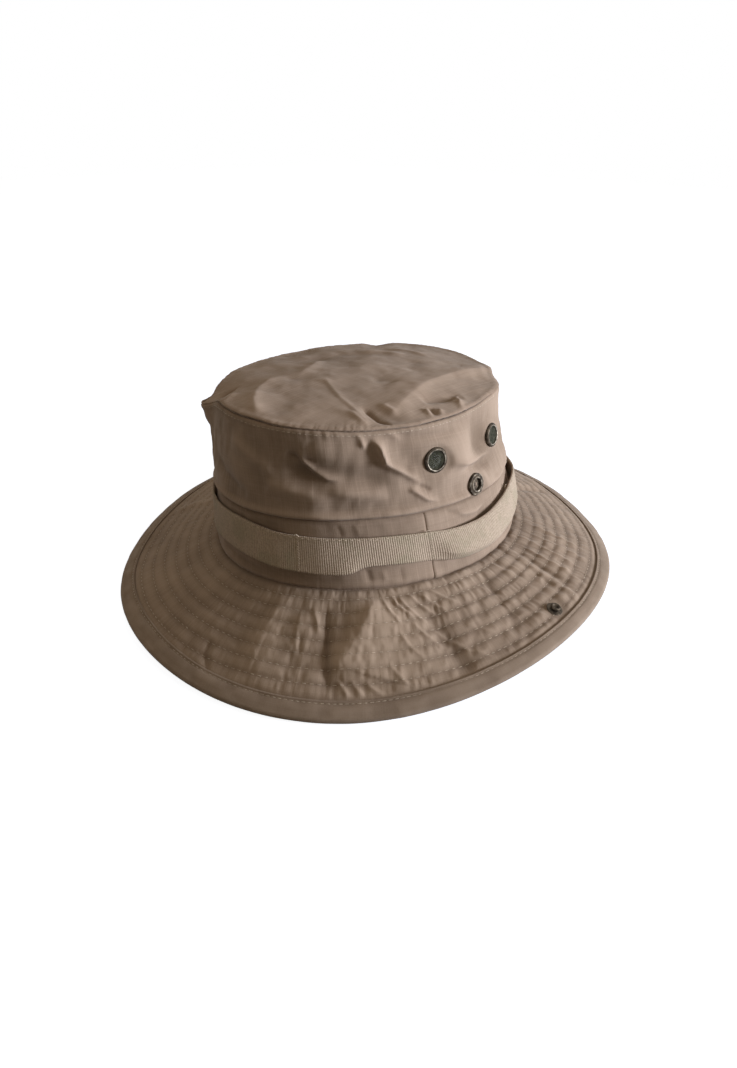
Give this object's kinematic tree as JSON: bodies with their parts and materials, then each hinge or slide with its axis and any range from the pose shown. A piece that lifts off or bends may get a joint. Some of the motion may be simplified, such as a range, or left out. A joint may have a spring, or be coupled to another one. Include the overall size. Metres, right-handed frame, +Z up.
{
  "type": "boonie hat",
  "caption": "Soft cloth field hat with a ventilated crown, a webbing band and a wide stitched brim whose sides fold up and snap to the crown.",
  "frame": {"origin": "centre of the footprint of the brim on the table", "axes": "+Z up, -Y front of the hat, +X the wearer's left"},
  "size_m": [0.3006, 0.3239, 0.1244],
  "materials": {
    "ripstop_cloth": "matt khaki-brown ripstop weave",
    "binding_tape": "matt folded tape",
    "interlining": "matt stiffened cloth",
    "webbing": "ribbed woven webbing",
    "thread": "close satin stitching",
    "sweatband_cloth": "soft cotton",
    "seam_tape": "plain cloth tape",
    "dark_brass": "blackened, with worn bright rims",
    "vent_screen": "fine woven wire, dark"
  },
  "bodies": {
    "crown": {"back_seam_tape": "seam_tape", "bar_tacks": "thread", "brim_back_binding": "binding_tape", "brim_back_core": "interlining", "brim_back_cover": "ripstop_cloth", "brim_back_lining": "ripstop_cloth", "brim_front_binding": "binding_tape", "brim_front_core": "interlining", "brim_front_cover": "ripstop_cloth", "brim_front_lining": "ripstop_cloth", "crown_lower_back": "ripstop_cloth", "crown_lower_front": "ripstop_cloth", "crown_side": "ripstop_cloth", "crown_top": "ripstop_cloth", "left_snap_post": "dark_brass", "left_snap_socket": "dark_brass", "right_snap_post": "dark_brass", "right_snap_socket": "dark_brass", "sweatband": "sweatband_cloth", "top_seam_tape": "seam_tape", "vent_left_back_eyelet": "dark_brass", "vent_left_back_screen": "vent_screen", "vent_left_back_washer": "dark_brass", "vent_left_front_eyelet": "dark_brass", "vent_left_front_screen": "vent_screen", "vent_left_front_washer": "dark_brass", "vent_right_back_eyelet": "dark_brass", "vent_right_back_screen": "vent_screen", "vent_right_back_washer": "dark_brass", "vent_right_front_eyelet": "dark_brass", "vent_right_front_screen": "vent_screen", "vent_right_front_washer": "dark_brass", "webbing_band": "webbing"},
    "brim_left_flap": {"left_flap_binding": "binding_tape", "left_flap_core": "interlining", "left_flap_cover": "ripstop_cloth", "left_flap_lining": "ripstop_cloth", "left_snap_stud": "dark_brass", "left_snap_cap": "dark_brass"},
    "brim_right_flap": {"right_flap_binding": "binding_tape", "right_flap_core": "interlining", "right_flap_cover": "ripstop_cloth", "right_flap_lining": "ripstop_cloth", "right_snap_stud": "dark_brass", "right_snap_cap": "dark_brass"}
  },
  "joints": [
    {"name": "left_brim_fold", "type": "hinge", "parent": "crown", "child": "brim_left_flap", "pos_m": [0.0908, 0, 0.03143], "axis": [0, -1, 0], "range_deg": [0, 117.67]},
    {"name": "right_brim_fold", "type": "hinge", "parent": "crown", "child": "brim_right_flap", "pos_m": [-0.0908, 0, 0.02903], "axis": [0, 1, 0], "range_deg": [0, 123.7]}
  ]
}
